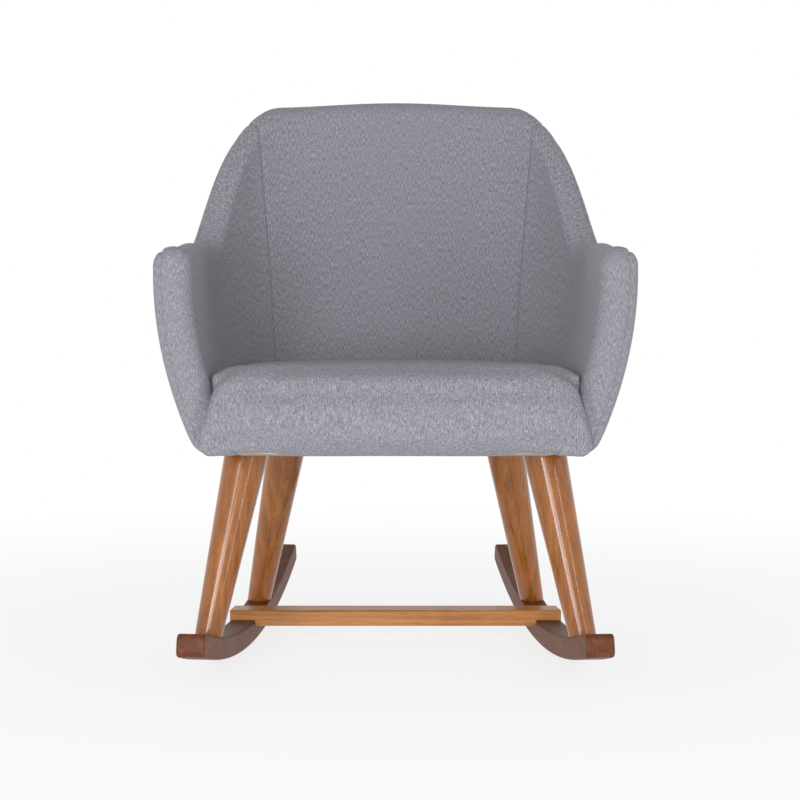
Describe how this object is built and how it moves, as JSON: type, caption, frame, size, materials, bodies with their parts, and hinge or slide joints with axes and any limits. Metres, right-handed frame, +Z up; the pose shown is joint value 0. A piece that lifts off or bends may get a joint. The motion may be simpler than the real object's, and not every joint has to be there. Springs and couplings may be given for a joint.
{
  "type": "rocking chair",
  "caption": "Upholstered tub rocking chair: padded back and arms in one shell, filled seat, splayed turned legs on curved rockers joined by a flat stretcher.",
  "frame": {"origin": "middle of the chair's footprint, on the floor", "axes": "+Z up; the sitter looks along -Y; +X is the sitter's left-hand side"},
  "size_m": [0.6658, 0.7547, 0.8402],
  "materials": {
    "upholstery": "matte",
    "foam": "matte",
    "dust_cloth": "matte",
    "webbing": "matte",
    "leg_wood": "gloss",
    "rocker_wood": "satin",
    "stretcher_wood": "satin",
    "frame_wood": "matte",
    "plywood": "matte",
    "zinc_steel": "satin"
  },
  "bodies": {
    "root": {"corner_block_front_left": "frame_wood", "corner_block_front_right": "frame_wood", "corner_block_rear_left": "frame_wood", "corner_block_rear_right": "frame_wood", "dust_cover": "dust_cloth", "inside_arm_cover_left": "upholstery", "inside_arm_cover_right": "upholstery", "inside_back_cover": "upholstery", "inside_foam": "foam", "leg_bolts": "zinc_steel", "leg_front_left": "leg_wood", "leg_front_right": "leg_wood", "leg_rear_left": "leg_wood", "leg_rear_right": "leg_wood", "leg_tee_nuts": "zinc_steel", "outside_cover": "upholstery", "outside_wadding": "foam", "rocker_left": "rocker_wood", "rocker_right": "rocker_wood", "rocker_screws": "zinc_steel", "seat_cover": "upholstery", "seat_foam": "foam", "seat_rail_front": "frame_wood", "seat_rail_left": "frame_wood", "seat_rail_rear": "frame_wood", "seat_rail_right": "frame_wood", "shell_bolts": "zinc_steel", "shell_core": "plywood", "stretcher": "stretcher_wood", "stretcher_screws": "zinc_steel", "webbing_crosswise": "webbing", "webbing_lengthwise": "webbing"}
  },
  "joints": []
}
